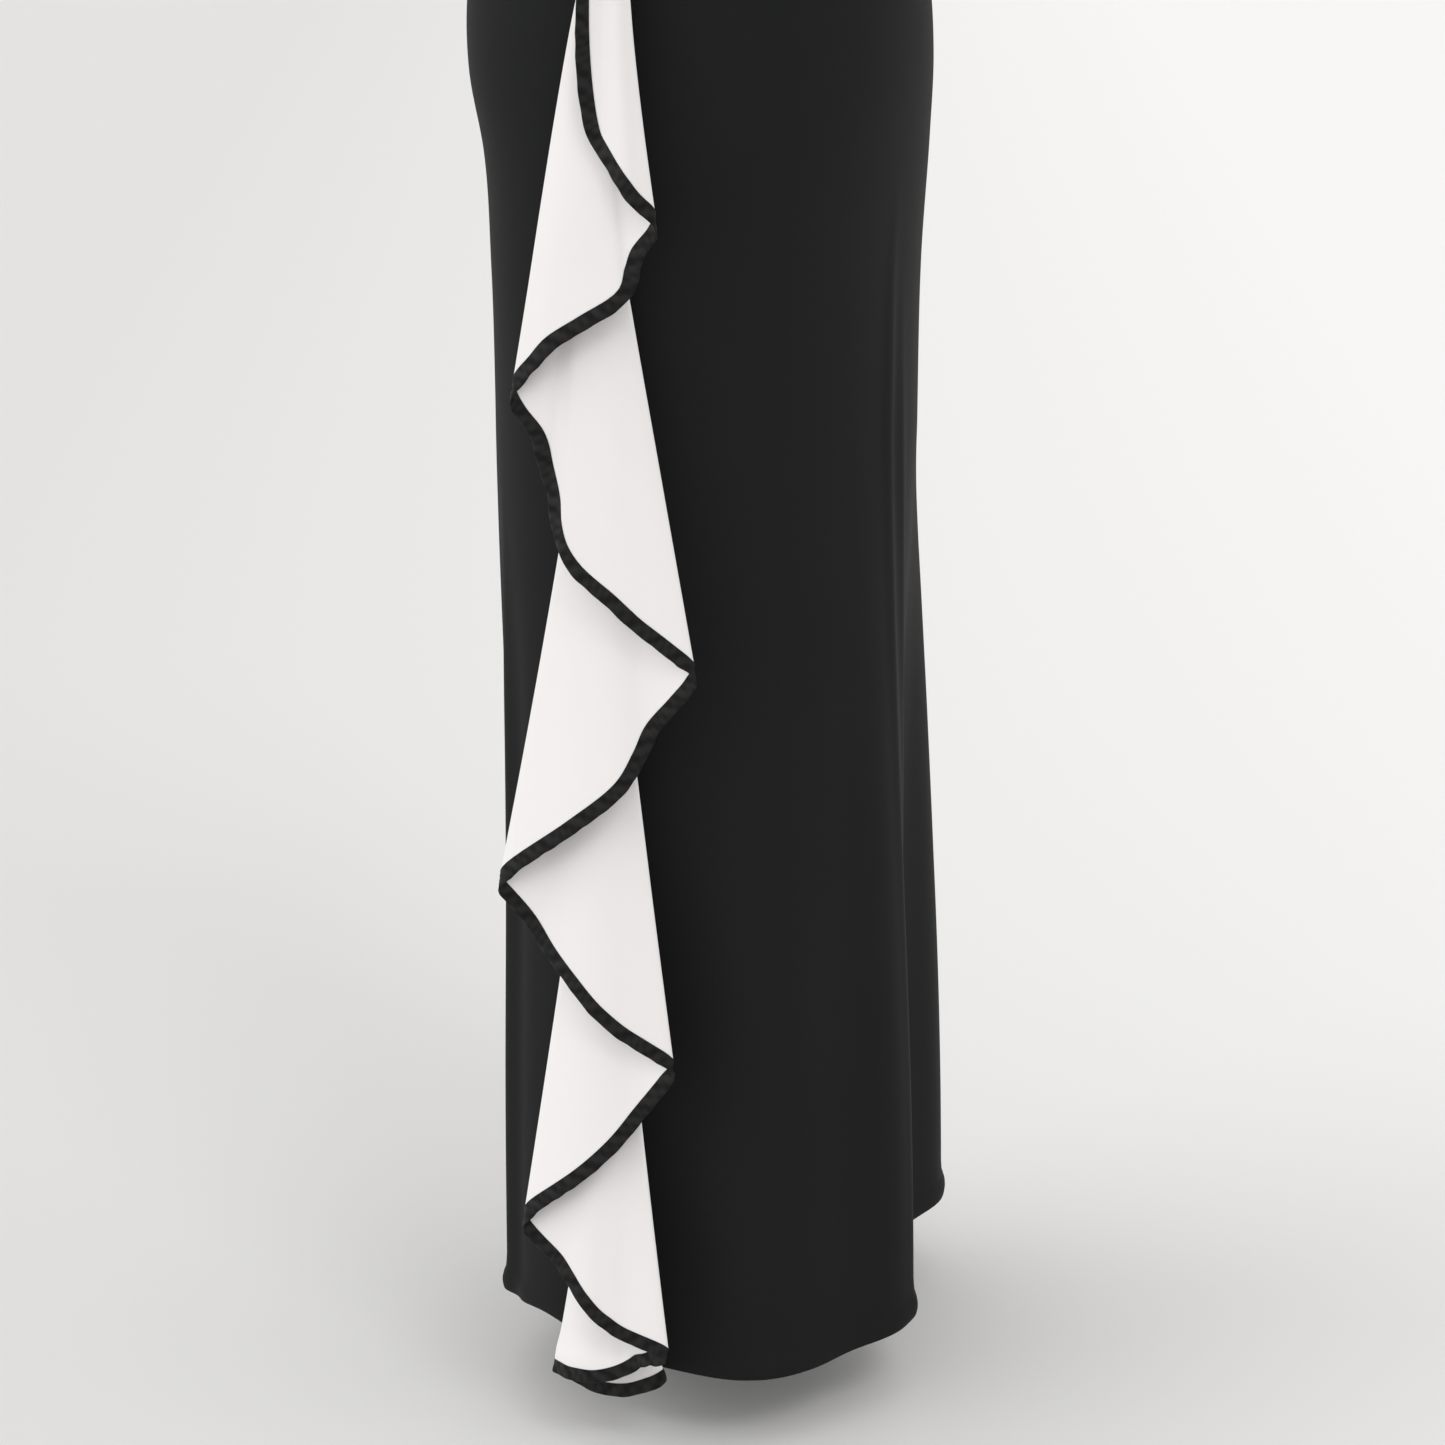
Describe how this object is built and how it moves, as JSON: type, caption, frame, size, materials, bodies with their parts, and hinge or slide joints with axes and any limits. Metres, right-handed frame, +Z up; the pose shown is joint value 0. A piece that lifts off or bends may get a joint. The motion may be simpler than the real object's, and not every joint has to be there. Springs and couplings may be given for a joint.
{
  "type": "one-shoulder maxi dress",
  "caption": "Black one-shoulder maxi dress with a white cascade ruffle, bound in black, down one side seam, in the hollow form it has when worn.",
  "frame": {"origin": "under the middle of the shoulder strap at the shoulder seam, where the wearer's left shoulder carries the dress", "axes": "+Z up, along the length of the dress from the hem to the strap; the front faces -Y; +X is the wearer's left, so the ruffled side seam is on the -X side"},
  "size_m": [0.4291, 0.3199, 1.4876],
  "materials": {
    "black_jersey": "matte black crepe jersey with a faint grey sheen",
    "white_crepe": "matte white double-faced crepe",
    "black_satin": "soft black satin bias binding"
  },
  "bodies": {
    "root": {"front": "black_jersey", "back": "black_jersey", "ruffle": "white_crepe", "ruffle_binding": "black_satin"}
  },
  "joints": []
}
